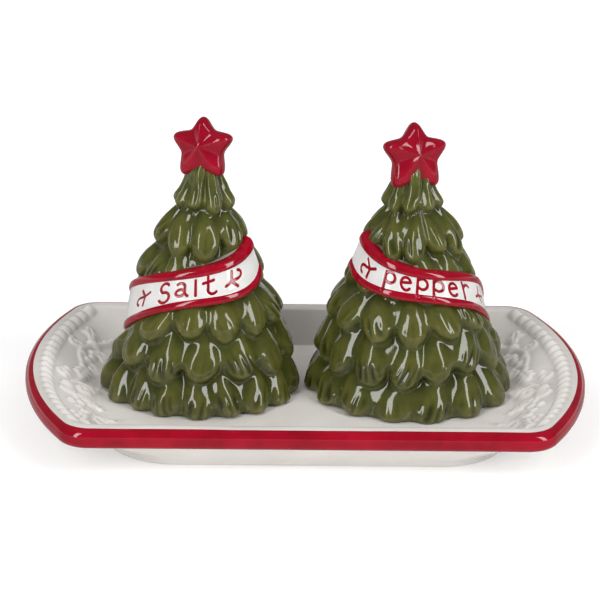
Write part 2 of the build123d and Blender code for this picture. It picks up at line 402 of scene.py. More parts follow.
SHAKERS = (
    Shaker(
        name="salt", side=-1, turn=20.0, girth=(0.0, 0.2, 0.4, 0.0, -0.2, -0.2), seed=11,
        layout=((18, -22), (13, 1), (13, -10.5), (11, 4), (8, 7), (8, -18)),
        star=(11.8, 91.8, 12, -4), pour_holes=3,
        sash_curve=(26.2, 0.145, 0.0047), sash_ends=(-96, 89),
        sash_tops=(37.0, 44.3, 49.0, 51.6, 53.3, 56.2, 59.2),
        sash_bottoms=(17.8, 26.0, 33.8, 37.8, 39.7, 42.0, 46.3),
    ),
    Shaker(
        name="pepper", side=1, turn=18.0, girth=(1.8, 0.9, 1.3, 0.4, 0.7, 0.4), seed=23,
        layout=((15, -12), (15, -6), (13, -1.4), (11, 12), (11, 1.6), (8, -5.6)),
        star=(12.8, 89.4, 15, 3), pour_holes=2,
        sash_curve=(30.0, 0.037, 0.004), sash_ends=(-90, 97),
        sash_tops=(38.5, 46.6, 51.2, 52.5, 53.9, 57.8, 60.0),
        sash_bottoms=(20.5, 32.0, 38.3, 41.0, 42.4, 44.3, 46.6),
    ),
)


def tier_line(radii, tier, height):
    """Radius of a tier's outer surface, which runs up under the tier above."""
    if tier == TOP_TIER:
        levels, neck = zip(*NECK)
        return np.interp(height, levels, neck)
    start, end = TIER_HEIGHTS[tier] + LEAF_BELLY, TIER_HEIGHTS[tier + 1] + TIER_OVERLAP
    share = np.maximum((height - start) / (end - start), -0.4)
    drop = radii[tier] - (radii[tier + 1] - LEDGE)
    bend = np.sign(share) * np.abs(share) ** TIER_BEND
    return radii[tier] - drop * (TIER_STRAIGHT * share + (1 - TIER_STRAIGHT) * bend)


TIP_ROUND = 3.9              # width of a leaf's rounded edge
TIP_DROP = 3.0               # how far that edge falls back around the tip
SIDE_DROP = 1.2              # and along the sides, where the leaf merges with the tier above
MERGE = (5.0, 13.0)          # heights above the tip between which it merges
LEAF_CROWN = 1.2             # rise of a leaf's middle over its sides
LEAF_TAPER = 0.34            # share of a leaf's width lost towards its upper end
TAPER = (5.0, 15.0)          # heights above the tip between which it is lost
LEAF_TONGUE = 1.15           # length of the round tip over half the leaf's width
LEAF_CLIFF = 1.5             # steepness of the surface outside a leaf's outline
LEAF_WIDTHS = (0.95, 1.08)   # range of leaf widths over their spacing
TURN_JITTER = 0.09           # of a leaf's direction, as a share of the spacing
TIP_JITTER = 1.7             # of a tip's height
LINE_JITTER = 0.5            # of a leaf's distance from the axis
LEAN_JITTER = 0.25           # of a leaf's slant
HEM_DROP = 1.6               # how far the lowest leaves reach below their tier's height
HEM_JITTER = 1.8             # how much more unevenly they stand out
TOP_SOFTNESS = 0.4           # how strongly the highest tier's leaves are shaped
FLUTE_DEPTH = 0.5
FLUTE_FAN = radians(12)      # angle between two flutes
FLUTE_ROOT = 20.0            # height above the tip from which they fan out
FLUTE_STARTS, FLUTE_ENDS = (1.2, 3.8), (6.0, 11.5)   # heights above the tip
FLUTE_PITCHES = (0.7, 1.5)   # range of their spacing over the fan's
FLUTE_STRENGTHS = (0.3, 0.9, 1.3)
TOP_PITCH, TOP_STRENGTH = 1.6, 0.5   # of the highest tier's flutes, over the others'


def leaf_field(shaker, tier, direction, spacing, angles, heights):
    """Radius of one leaf's surface over the whole tree, and the depth of its flutes."""
    rng = shaker.rng
    lowest, highest = tier == 0, tier == TOP_TIER
    soft = TOP_SOFTNESS if highest else 1.0
    tip = TIER_HEIGHTS[tier] + rng.uniform(-TIP_JITTER, TIP_JITTER) - (HEM_DROP if lowest else 0)
    offset = rng.uniform(-LINE_JITTER, LINE_JITTER) * (HEM_JITTER if lowest else 1)
    line = tier_line(shaker.radii, tier, heights) + offset
    turn = (angles - direction + pi) % (2 * pi) - pi
    above = heights - tip
    merged = smooth_step(*MERGE, above)

    lean = rng.uniform(-LEAN_JITTER, LEAN_JITTER)
    across = turn * line + lean * np.clip(above - 4, -6, 9)
    full = 0.5 * spacing * line * rng.uniform(*LEAF_WIDTHS)
    width = full * (1 - soft * LEAF_TAPER * smooth_step(*TAPER, above))
    tongue = LEAF_TONGUE * full
    outline = width - np.hypot(across, np.maximum(tongue - above, 0) * width / tongue)

    near = np.clip(outline / TIP_ROUND, 0, 1)
    depth = TIP_DROP * (1 - merged) + soft * SIDE_DROP * merged
    surface = line - depth * (1 - np.sqrt(1 - (1 - near) ** 2))
    surface = surface - soft * LEAF_CROWN * np.clip(across / width, -1.2, 1.2) ** 2
    surface = np.where(outline < 0, surface + LEAF_CLIFF * outline, surface)

    fan = np.arctan2(across, FLUTE_ROOT - above + 6 * merged)
    fan = fan + rng.uniform(-0.03, 0.03) * above
    phase = rng.uniform(-1.5, 1.5)
    pitch = FLUTE_FAN * rng.uniform(*FLUTE_PITCHES) * (TOP_PITCH if highest else 1)
    wave = 0.5 - 0.5 * np.cos(2 * pi * fan / pitch + phase + 0.8 * np.sin(3.3 * fan / pitch))
    groove = (1 - wave) ** 2.2 * smooth_step(0.6, 2.6, outline)
    groove = groove * smooth_step(*FLUTE_STARTS, above) * (1 - smooth_step(*FLUTE_ENDS, above))
    strength = rng.choice(FLUTE_STRENGTHS) * (TOP_STRENGTH if highest else 1)
    return surface, FLUTE_DEPTH * strength * groove


SKIRT_DEPTH = 1.7            # of the surface that shows between two leaves
SKIRT_RISES = (0.0, 7.5, 7.5, 7.5, 7.5, 4.5)   # of its lower edge above each tier's tips
SKIRT_SLOPE = 0.75           # by which it draws in below that edge
HEM_DEPTH = 3.6              # how far the tree's lowest edge draws in between its leaves
FOOT_ROUND = 1.8             # radius of the tree's rounded lowest edge
BLEND_SHARPNESS = 2.6
BLEND_RADIUS = 40.0          # keeps the blend's weights small
LUMP_RADIUS = 28.0           # at which the lumps' cells keep their size
LUMPS = ((0.6, 7.0), (0.12, 3.0))   # height and cell of the casting's unevenness
SURFACE_BLUR = (1.5, 1.9)    # in rows and columns, as for the next two
FLUTE_BLUR = (0.7, 0.8)
RELIEF_BLUR = (5.0, 5.5)
PLAIN_RELIEF = 0.44          # how thin the glaze lies on a flat place, from 0 to 1
RELIEF_GAIN = 0.24           # and how much thinner for each millimetre that stands proud
INNER_RELIEF = 0.4


def skirt_line(shaker, tier, heights):
    """Radius of the surface that shows between a tier's leaves."""
    hem = (HEM_DEPTH - SKIRT_DEPTH) * smooth_step(9, 1, heights) if tier == 0 else 0
    below = np.maximum(TIER_HEIGHTS[tier] + SKIRT_RISES[tier] - heights, 0)
    return tier_line(shaker.radii, tier, heights) - (SKIRT_DEPTH + hem) - SKIRT_SLOPE * below


def blend_weight(radius):
    """Weight of a surface in the soft blend that follows the outermost one."""
    return np.exp(BLEND_SHARPNESS * (radius - BLEND_RADIUS))


def tree_surface(shaker):
    """The tree's outer radius over directions and heights, and how thin its glaze lies."""
    angles = np.linspace(0, 2 * pi, SEGMENTS, endpoint=False)[None, :]
    heights = np.linspace(0, APEX, ROWS)[:, None]
    levels, radii = zip(*CORE)
    total = blend_weight(np.interp(heights, levels, radii) + 0 * angles)
    flutes = np.zeros_like(total)
    for tier, (leaves, first) in enumerate(shaker.layout):
        spacing = 2 * pi / leaves
        total = total + blend_weight(skirt_line(shaker, tier, heights) + 0 * angles)
        for number in range(leaves):
            jitter = shaker.rng.uniform(-TURN_JITTER, TURN_JITTER) * spacing
            direction = radians(first) - shaker.turn + number * spacing + jitter
            field, groove = leaf_field(shaker, tier, direction, spacing, angles, heights)
            weight = blend_weight(field)
            total = total + weight
            flutes = flutes + weight * groove
    radius = BLEND_RADIUS + np.log(total) / BLEND_SHARPNESS
    for rise, cell in LUMPS:
        radius = radius + rise * value_noise(shaker.rng, angles * LUMP_RADIUS, heights, cell)
    grooves = blur(flutes / total, *FLUTE_BLUR)
    radius = blur(radius, *SURFACE_BLUR) - grooves
    radius = fit_sash(shaker, angles, heights, radius)
    round_foot = np.clip(1 - heights / FOOT_ROUND, 0, 1)
    radius = radius - FOOT_ROUND * (1 - np.sqrt(1 - round_foot ** 2))
    radius = pierce(shaker, angles, heights, radius)
    relief = radius - blur(radius, *RELIEF_BLUR)
    thin = np.clip(PLAIN_RELIEF + RELIEF_GAIN * relief - grooves, 0, 1)
    return angles, heights, radius, thin


GROOVE_LEVEL = 0.15          # of the leaves at the sash's edge, past its plain radius
GROOVE_DEPTH = 0.9           # of the groove under the sash
GROOVE_SLOPE, GROOVE_FLARE = 0.85, 0.05   # of the leaves away from that edge
GROOVE_SOFTNESS = 0.5
GROOVE_REACH = 12.0


def fit_sash(shaker, angles, heights, radius):
    """Lets the leaves run down into the groove that the sash lies in."""
    climb = shaker.climb(angles)
    top, bottom = shaker.sash_edges(climb)
    low_end, high_end = shaker.sash_ends
    past_end = np.maximum(low_end - climb, climb - high_end) * radius
    away = np.maximum(np.maximum(heights - top, bottom - heights), past_end)
    level = shaker.sash_radius(heights) + GROOVE_LEVEL
    outside = level + GROOVE_SLOPE * away + GROOVE_FLARE * away ** 2
    inside = level - GROOVE_DEPTH * smooth_step(0, -1.2, away)
    limit = np.where(away > 0, outside, inside)
    blended = -GROOVE_SOFTNESS * np.logaddexp(-radius / GROOVE_SOFTNESS, -limit / GROOVE_SOFTNESS)
    return np.where(away < GROOVE_REACH, blended, radius)


def pierce(shaker, angles, heights, radius):
    """Small pour holes in the tree's back, as pits that reach the chamber."""
    for number in range(shaker.pour_holes):
        direction = pi + (number - (shaker.pour_holes - 1) / 2) * POUR_HOLE_SPREAD
        turn = (angles - direction + pi) % (2 * pi) - pi
        away = np.hypot(turn * radius, heights - POUR_HOLE_HEIGHT)
        pit = smooth_step(POUR_HOLE_RADIUS + POUR_HOLE_EDGE, POUR_HOLE_RADIUS - POUR_HOLE_EDGE, away)
        radius = radius - pit * np.maximum(radius - POUR_HOLE_FLOOR, 0)
    return radius


def build_tree(shaker, material):
    """The hollow tree: its leaves outside, and the foot and chamber inside."""
    angles, heights, radius, thin = tree_surface(shaker)
    outer = shaker.around(angles, radius, heights)[::-1]
    rings = [
        shaker.around(angles[0], r + 0 * angles[0], z + 0 * angles[0]) for r, z in CAVITY_PROFILE
    ]
    crown = shaker.place(0.0, 0.0, APEX + CROWN_RISE)
    ceiling = shaker.place(0.0, 0.0, CAVITY_TOP)
    rows = ROWS + len(rings)
    points = np.concatenate([outer.reshape(-1, 3), np.concatenate(rings), [crown, ceiling]])
    last = (rows - 1) * SEGMENTS + np.arange(SEGMENTS)
    faces = [
        grid_faces(rows, SEGMENTS, True, flip=True),
        fan_faces(np.arange(SEGMENTS), len(points) - 2),
        fan_faces(last, len(points) - 1, flip=True),
    ]
    inner = np.full(len(rings) * SEGMENTS + 2, INNER_RELIEF)
    relief = {"relief": np.concatenate([thin[::-1].ravel(), inner])}
    node = f"{shaker.name}_tree"
    make_piece(f"{node}_body", points, faces, material, shaker.body(), node, relief)


# --- stars ----------------------------------------------------------------------------
STAR_PROFILE = (             # shares of the way to the edge, and of the half thickness there
    (0.05, 0.99), (0.12, 0.96), (0.20, 0.925), (0.30, 0.88), (0.40, 0.835), (0.50, 0.79), (0.60, 0.745),
    (0.69, 0.70), (0.77, 0.65), (0.84, 0.585), (0.895, 0.50), (0.94, 0.395), (0.97, 0.275), (0.99, 0.14),
    (1.0, 0.0),
)
STAR_HALF_THICK = 6.2
STAR_INNER = 0.57            # inner radius over outer radius
STAR_HOLLOW = 0.13           # share of the thickness by which the facets are dished
STAR_UNEVEN = 0.01           # share by which the hand-pressed arms differ
STAR_DROP = 0.10             # share by which the upper arm is shorter and the lower ones longer
STAR_STEPS = 300
STAR_TIP_BLUR = 0.019 * STAR_STEPS
STAR_MIDDLE_BLUR = 0.035 * STAR_STEPS   # rings near the middle have rounder corners
STAR_RELIEF = 0.40
STAR_RIDGE_RELIEF = 0.30     # more along the ridges, where the glaze lies thin


def star_edge(angle, radius):
    """Distance from the star's middle to its edge, with rounded tips and soft valleys."""
    step = pi / 5
    folded = np.abs((angle + step) % (2 * step) - step)
    tip = np.array([1.0, 0.0])
    valley = STAR_INNER * np.array([cos(step), sin(step)])
    edge = valley - tip
    straight = (tip[0] * edge[1] - tip[1] * edge[0]) / (
        np.cos(folded) * edge[1] - np.sin(folded) * edge[0]
    )
    soft = blur(straight[None, :], 0.5, STAR_TIP_BLUR)[0]
    return radius * soft / soft.max()


def build_star(shaker, material):
    """Five arms with ridges and dished facets, leaning back and rolled a little."""
    angles = np.linspace(0, 2 * pi, STAR_STEPS, endpoint=False)
    uneven = STAR_UNEVEN * np.sin(2 * angles + shaker.side) - STAR_DROP * np.cos(angles)
    edge = star_edge(angles, shaker.star_radius) * (1 + uneven)
    soft = blur(edge[None, :], 0.5, STAR_MIDDLE_BLUR)[0]
    ridge = (edge - edge.min()) / (edge.max() - edge.min())
    between = np.abs((angles + pi / 5) % (2 * pi / 5) - pi / 5) / (pi / 5)
    rings, relief = [], []
    for side, profile in ((1, STAR_PROFILE), (-1, STAR_PROFILE[-2::-1])):
        for share, depth in profile:
            reach = share * (soft * (1 - share) + edge * share)
            dish = STAR_HOLLOW * 4 * share * (1 - share) * between * (2 - between)
            thick = side * (depth - dish) * STAR_HALF_THICK
            rings.append(np.stack([reach * np.sin(angles), -thick, reach * np.cos(angles)], -1))
            relief.append(STAR_RELIEF + STAR_RIDGE_RELIEF * ridge ** 3 * (1 - share) ** 0.5)
    local = np.concatenate(rings + [[[0, -STAR_HALF_THICK, 0]], [[0, STAR_HALF_THICK, 0]]])
    lean, roll = radians(shaker.star_lean), radians(shaker.star_roll)
    x = local[:, 0] * cos(roll) + local[:, 2] * sin(roll)
    z = local[:, 2] * cos(roll) - local[:, 0] * sin(roll)
    y, z = local[:, 1] * cos(lean) + z * sin(lean), z * cos(lean) - local[:, 1] * sin(lean)
    points = shaker.place(x, y, shaker.star_height + z)
    last = (len(rings) - 1) * STAR_STEPS + np.arange(STAR_STEPS)
    faces = [
        grid_faces(len(rings), STAR_STEPS, True),
        fan_faces(np.arange(STAR_STEPS), len(points) - 2, flip=True),
        fan_faces(last, len(points) - 1),
    ]
    relief = {"relief": np.concatenate(relief + [[0.8, 0.8]])}
    node = f"{shaker.name}_star"
    make_piece(f"{node}_body", points, faces, material, shaker.body(), node, relief)


# --- sashes ---------------------------------------------------------------------------
SASH_COLUMNS = 480
SASH_ROWS = 84
BORDER_WIDTH = 2.9           # of the raised red border along each edge
BORDER_RISE = 0.75
SASH_PROUD = 0.5             # of the white field, past its plain radius
SASH_SWELL = 0.3             # of the field's unevenness
SASH_INNER = 4.4             # depth of the sash's inner face, inside the tree
SASH_ROUND = 0.9             # by which its outer edge is rounded off
SASH_END_PAINT = (0.9, 0.5)  # the red at each end of the sash fades between these
STROKE_HALF = 0.52           # half the width of a letter's stroke
STROKE_DEPTH = 0.3
WORDS = {"salt": ("Salt", -5.6), "pepper": ("pepper", -16.0)}   # and the first letter's place
SPRIG_GAP = 9.0              # from the word to the middle of a sprig
SPRIG_WIDTH = 1.2


def arc(cx, cy, rx, ry, start, end, steps=14):
    """Points along part of an ellipse, by angles in degrees."""
    t = np.radians(np.linspace(start, end, steps))
    return [(cx + rx * cos(a), cy + ry * sin(a)) for a in t]


# Plain round letters in millimetres, each about its own middle, and the step to the next.
LETTER_SCALE = 0.88
LETTER_STEPS = {"S": 6.3, "a": 5.2, "l": 4.6, "t": 0.0, "p": 5.9, "e": 5.9, "r": 0.0}
LETTERS = {
    "S": [arc(0.1, 1.9, 1.6, 1.9, 35, 250) + arc(0.0, -1.9, 1.9, 2.1, 85, -150)],
    "a": [
        arc(-0.3, 1.3, 1.7, 1.5, 130, 0) + [(1.4, -1.5), (2.4, -2.6)],
        arc(-0.3, -1.0, 1.6, 1.3, 20, 340),
    ],
    "l": [[(0.0, 3.1), (0.1, -2.9)]],
    "t": [[(0.0, 3.8), (-0.1, 0.2)] + arc(1.4, -1.4, 1.6, 1.7, 175, 320), [(-1.9, 1.4), (2.0, 2.1)]],
    "p": [[(-1.6, 2.6), (-2.0, -3.9)], arc(0.0, 0.8, 1.9, 2.1, 150, -140)],
    "e": [[(-1.7, 0.2), (1.6, 0.7)] + arc(0.0, 0.0, 1.8, 2.5, 20, 315)],
    "r": [[(-1.2, 3.2), (-1.1, -3.3)], arc(0.8, 0.2, 1.9, 2.2, 170, 50)],
}
SPRIG = [
    arc(-1.9, -1.3, 1.5, 1.4, 250, 110, 10) + [(0.3, 0.2), (2.3, 1.3)],
    [(-1.6, 2.6), (0.3, 0.2), (-0.2, -3.0)],
]


def sash_strokes(shaker):
    """Every stroke on the sash, as points along it and up it in millimetres."""
    word, start = WORDS[shaker.name]
    strokes, place = [], start
    for character in word:
        for line in LETTERS[character]:
            strokes.append([(place + x, LETTER_SCALE * y) for x, y in line])
        place += LETTER_STEPS[character]
    for centre, facing in ((start - SPRIG_GAP, 1), (place + SPRIG_GAP, -1)):
        for line in SPRIG:
            strokes.append([(centre + SPRIG_WIDTH * facing * x, facing * y) for x, y in line])
    return strokes


def stroke_distance(strokes, along, across):
    """Distance of each place from the nearest stroke."""
    nearest = np.full(along.shape, 99.0)
    for line in strokes:
        for (x0, y0), (x1, y1) in zip(line[:-1], line[1:]):
            dx, dy = x1 - x0, y1 - y0
            share = ((along - x0) * dx + (across - y0) * dy) / (dx * dx + dy * dy + 1e-9)
            share = np.clip(share, 0, 1)
            gap = np.hypot(along - x0 - share * dx, across - y0 - share * dy)
            nearest = np.minimum(nearest, gap)
    return nearest


def sash_surface(shaker):
    """Directions, heights and radius of the sash's face, its plain radius, and its paint."""
    climb = np.linspace(*shaker.sash_ends, SASH_COLUMNS)[None, :]
    if shaker.side > 0:
        climb = climb[:, ::-1]
    direction = -shaker.side * climb
    top, bottom = shaker.sash_edges(climb)
    share = np.linspace(0, 1, SASH_ROWS)[:, None]
    height = top + (bottom - top) * share
    plain = shaker.sash_radius(height)
    middle = plain[SASH_ROWS // 2]
    slope = np.gradient((top + bottom)[0] / 2, direction[0]) / middle
    inset = np.minimum(share, 1 - share) * (top - bottom) * np.cos(np.arctan(slope))
    along = np.cumsum(np.abs(np.gradient(direction[0])) * middle)
    along = (along - np.interp(0.0, direction[0], along)) + 0 * share
    to_end = np.minimum(along - along.min(), along.max() - along)
    up = height - (top + bottom) / 2
    stroke = stroke_distance(sash_strokes(shaker), along, up)

    away = np.clip(np.abs(2 * inset / BORDER_WIDTH - 1), 0, 1)
    border = BORDER_RISE * np.sqrt(1 - away ** 2)
    engraved = STROKE_DEPTH * smooth_step(STROKE_HALF + 0.25, STROKE_HALF - 0.15, stroke)
    swell = SASH_SWELL * value_noise(shaker.rng, along + 50, up + 50, 8.0)
    rounded = 1 - np.clip(np.minimum(to_end, inset) / 0.7, 0, 1)
    radius = plain + SASH_PROUD + border - engraved + swell
    radius = radius - SASH_ROUND * (1 - np.sqrt(1 - rounded ** 2))

    stripe = smooth_step(BORDER_WIDTH + 0.15, BORDER_WIDTH - 0.15, inset)
    ends = smooth_step(*SASH_END_PAINT, to_end)
    letters = smooth_step(STROKE_HALF + 0.14, STROKE_HALF - 0.14, stroke)
    paint = np.maximum(np.maximum(stripe, ends), letters)
    return direction, height, radius, plain, paint


def build_sash(shaker, material):
    """A raised band around the tree's front, closed by an inner face and an edge."""
    direction, height, radius, plain, paint = sash_surface(shaker)
    outer = shaker.around(direction, radius, height)
    inner = shaker.around(direction, plain - SASH_INNER, height)
    points = np.concatenate([outer.reshape(-1, 3), inner.reshape(-1, 3)])
    count = SASH_ROWS * SASH_COLUMNS
    grid = np.arange(count).reshape(SASH_ROWS, SASH_COLUMNS)
    rim = np.concatenate([grid[0, :-1], grid[:-1, -1], grid[-1, :0:-1], grid[:0:-1, 0]])
    following = np.roll(rim, -1)
    faces = [
        grid_faces(SASH_ROWS, SASH_COLUMNS, False, flip=True),
        grid_faces(SASH_ROWS, SASH_COLUMNS, False, start=count),
        np.stack([rim, following, following + count, rim + count], 1),
    ]
    paint = {"paint": np.concatenate([paint.ravel(), np.zeros(count)])}
    node = f"{shaker.name}_banner"
    make_piece(f"{node}_body", points, faces, material, shaker.body(), node, paint)


# --- tray -----------------------------------------------------------------------------
END_RADIUS = 120.0           # of the bowed ends
SIDE_STEPS, CORNER_STEPS, END_STEPS = 110, 26, 236
# Each ring of the tray: inset from the rim's edge on the long sides, the same on the ends,
# corner radius, and a height where it isn't worked out. The lip's heights count from the top.
UNDERSIDE = (
    (30.0, 42.0, 14.0, 2.0), (18.6, 31.1, 19.0, 2.0), (18.05, 30.55, 19.0, 1.7), (18.0, 30.5, 19.0, 0.9),
    (17.8, 30.3, 19.0, 0.2), (17.2, 29.7, 19.5, 0.0), (13.9, 26.4, 23.0, 0.0), (13.25, 25.75, 23.8, 0.25),
    (13.0, 25.5, 24.0, 0.9), (12.9, 25.35, 24.0, 2.0), (12.2, 23.9, 23.0, 3.0), (10.0, 18.0, 20.0, 6.0),
    (7.6, 11.6, 16.0, 8.9), (6.0, 7.3, 14.0, 10.5), (5.0, 5.4, 13.0, 11.0), (3.6, 3.7, 12.6, 10.92),
)
RIM_ROUND = 3.2
RIM_RINGS = 16
RIM_CORNER = 10.5
RIM_BOTTOM = TRAY_TOP - 7.4
LIP = ((5.6, 4.4, 9.4, 0.0), (6.6, 5.2, 9.2, -0.1), (7.3, 6.2, 9.0, -0.45))
WALL = ((7.3, 6.2, 9.0), (15.6, 26.8, 20.0))
WALL_RINGS = 44
WALL_FOOT = 0.96             # share of the wall's run at which it meets the floor
WALL_EASE = 0.0012           # how softly it does
FLOOR = (
    (16.2, 27.5, 20.0), (17.0, 28.4, 19.5), (18.0, 29.5, 19.0), (19.4, 31.0, 18.0), (21.5, 33.4, 17.0),
    (25.0, 38.0, 14.0), (32.0, 46.0, 10.0), (40.0, 56.0, 8.0),
)
PAINT_TOP_INSET = 2.6
PAINT_BOTTOM = 0.5           # above the rim's lowest point
BEAD_PITCH = 5.0
BEADS_PER_END = 22
BEAD_SHIFT = 2.5             # of the row's middle towards the back
BEAD_MIDDLE = 7.9            # inset of the row from the rim's edge
BEAD_HALF_LENGTH = 2.05
BEAD_RISE = 1.4
END_REACH = 50.0             # length of each end that carries beads and motifs
TRAY_SWELL = 0.12            # of the casting's unevenness
PLAIN_POOL = 0.5             # the glaze's tone on a flat place, from pooled to thin
POOL_GAIN = 0.45             # and the change for each millimetre that stands proud


def tray_ring(side_inset, end_inset, corner):
    """Points around an outline with straight sides, bowed ends and round corners."""
    half = TRAY_WIDTH / 2 - side_inset
    centre = TRAY_LENGTH / 2 - END_RADIUS
    bow = END_RADIUS - end_inset
    corner_y = half - corner
    corner_x = centre + np.sqrt((bow - corner) ** 2 - corner_y ** 2)
    slant = np.arctan2(corner_y, corner_x - centre)
    side = np.linspace(-corner_x, corner_x, SIDE_STEPS, endpoint=False)
    front = np.stack([side, np.full_like(side, -half)], 1)
    turn = np.linspace(-pi / 2, -slant, CORNER_STEPS, endpoint=False)
    near = np.stack([corner_x + corner * np.cos(turn), -corner_y + corner * np.sin(turn)], 1)
    sweep = np.linspace(-slant, slant, END_STEPS, endpoint=False)
    end = np.stack([centre + bow * np.cos(sweep), bow * np.sin(sweep)], 1)
    turn = np.linspace(slant, pi / 2, CORNER_STEPS, endpoint=False)
    far = np.stack([corner_x + corner * np.cos(turn), corner_y + corner * np.sin(turn)], 1)
    half_ring = np.concatenate([front, near, end, far])
    return np.concatenate([half_ring, -half_ring])


def tray_profile():
    """Rings from the foot's recess, around the rim, and down into the middle of the well."""
    rings = [ring + (0.0,) for ring in UNDERSIDE]
    for angle in np.linspace(-80, 90, RIM_RINGS):
        turn = radians(angle)
        inset = RIM_ROUND * (1 - cos(turn))
        middle = RIM_BOTTOM + RIM_ROUND if angle < 0 else TRAY_TOP - RIM_ROUND
        height = middle + RIM_ROUND * sin(turn)
        outside = angle < 0 or inset < PAINT_TOP_INSET
        painted = float(outside and height > RIM_BOTTOM + PAINT_BOTTOM)
        rings.append((inset, inset, RIM_CORNER, height, painted))
    rings += [(side, end, corner, TRAY_TOP + drop, 0.0) for side, end, corner, drop in LIP]
    wall_rise = TRAY_TOP + LIP[-1][3] - FLOOR_Z
    for share in np.linspace(0, 1, WALL_RINGS + 1)[1:]:
        side, end, corner = (a + (b - a) * share for a, b in zip(*WALL))
        left = np.clip((WALL_FOOT - share) / WALL_FOOT, 0, 1)
        eased = 0.5 * (left + np.sqrt(left ** 2 + WALL_EASE))
        rings.append((side, end, corner, FLOOR_Z + wall_rise * eased, 0.0))
    rings += [(side, end, corner, FLOOR_Z, 0.0) for side, end, corner in FLOOR]
    return rings


def bump(distance, half, rise):
    """Round ridge of a height, by distance from its middle."""
    return rise * np.sqrt(np.clip(1 - (distance / half) ** 2, 0, 1))


def curl(cx, cy, radius, turns, start, facing):
    """A spiral stroke that winds into its middle."""
    t = np.linspace(0, 1, 22)
    sweep = radians(start) + facing * t * turns * 2 * pi
    r = radius * (1 - 0.82 * t)
    return list(zip(cx + r * np.cos(sweep), cy + r * np.sin(sweep)))


def leaf_relief(x, y, cx, cy, length, width, angle, lobes, rise):
    """Embossed leaf with a lobed edge and a vein down its middle."""
    turn = radians(angle)
    along = (x - cx) * cos(turn) + (y - cy) * sin(turn)
    across = (y - cy) * cos(turn) - (x - cx) * sin(turn)
    share = np.clip(along / length + 0.5, 0.001, 0.999)
    half = width / 2 * np.sin(pi * share) ** 0.7 * (1 + 0.28 * np.cos(2 * pi * lobes * share))
    inside = np.clip(1 - (across / half) ** 2, 0, 1) * (np.abs(along) < length / 2)
    vein = 0.45 * np.exp(-((across / 0.35) ** 2))
    vein = vein + 0.2 * np.exp(-((np.sin(lobes * pi * share) / 0.3) ** 2))
    return rise * np.sqrt(inside) * (1 - vein)


BERRIES = (   # place along the end, inset from the rim's edge, radius
    (37.5, 18.0, 2.6), (26.5, 17.0, 1.9), (24.0, 19.6, 1.9), (28.2, 20.2, 1.8), (-24.0, 15.2, 1.9),
    (-21.8, 18.4, 1.8), (-41.5, 13.2, 1.4), (-38.0, 12.6, 1.4), (-36.9, 15.6, 1.4), (-40.6, 16.4, 1.4),
    (7.0, 14.6, 1.5), (-47.5, 22.0, 1.6), (44.5, 20.5, 1.6),
)
LEAVES = (    # place, inset, length, width, direction, lobes
    (33.0, 22.5, 10.0, 5.4, 60, 2), (43.0, 14.5, 8.5, 4.8, 150, 2), (11.0, 20.0, 11.0, 5.2, 10, 3),
    (-17.5, 22.5, 11.0, 5.6, -50, 3), (-28.5, 19.5, 9.5, 6.0, 200, 2), (-46.5, 16.5, 11.0, 6.4, 25, 3),
    (-33.0, 25.0, 9.0, 4.6, 90, 2), (19.0, 25.5, 9.0, 4.8, 120, 2), (0.5, 25.0, 8.5, 4.4, 75, 2),
)
CURLS = (     # place, inset, radius, turns, start, facing
    (19.0, 22.5, 4.6, 1.2, 200, 1), (-5.0, 20.5, 4.8, 1.5, 60, -1), (-37.5, 20.5, 4.0, 1.2, 120, 1),
    (31.5, 13.6, 3.0, 1.1, 300, -1), (-13.5, 14.6, 3.2, 1.2, 20, 1), (2.2, 14.0, 2.8, 1.0, 180, 1),
)


BERRY_RISE = 0.75            # over a berry's radius
RELIEF_LEAF_WIDTH = 1.2      # over the widths above
RELIEF_LEAF_RISE = 1.5
STEM_INSET, STEM_SWING, STEM_PITCH = 18.5, 2.6, 6.1
STEM_HALF, STEM_RISE = 1.1, 1.1
CONE = (-9.0, 15.4, 3.6, 2.7, 1.9)   # place, inset, half length, half width, rise


def end_relief(along, inset):
    """Raised berries, leaves, curls, a wavy stem and a cone on each end of the well."""
    relief = np.zeros_like(along)
    for place, depth, radius in BERRIES:
        berry = bump(np.hypot(along - place, inset - depth), radius, radius * BERRY_RISE)
        relief = np.maximum(relief, berry)
    for place, depth, length, width, angle, lobes in LEAVES:
        wide = RELIEF_LEAF_WIDTH * width
        leaf = leaf_relief(along, inset, place, depth, length, wide, angle, lobes, RELIEF_LEAF_RISE)
        relief = np.maximum(relief, leaf)
    strokes = [curl(*numbers) for numbers in CURLS]
    wave = np.linspace(-49, 49, 60)
    strokes.append(list(zip(wave, STEM_INSET + STEM_SWING * np.sin(wave / STEM_PITCH))))
    stems = bump(stroke_distance(strokes, along, inset), STEM_HALF, STEM_RISE)
    place, depth, half_length, half_width, rise = CONE
    away = np.hypot((along - place) / half_length, (inset - depth) / half_width)
    hatch = 0.18 * np.cos((along + inset) * 2.6) * np.cos((along - inset) * 2.6)
    return np.maximum(np.maximum(relief, stems), bump(away, 1.0, rise) * (1 - hatch))


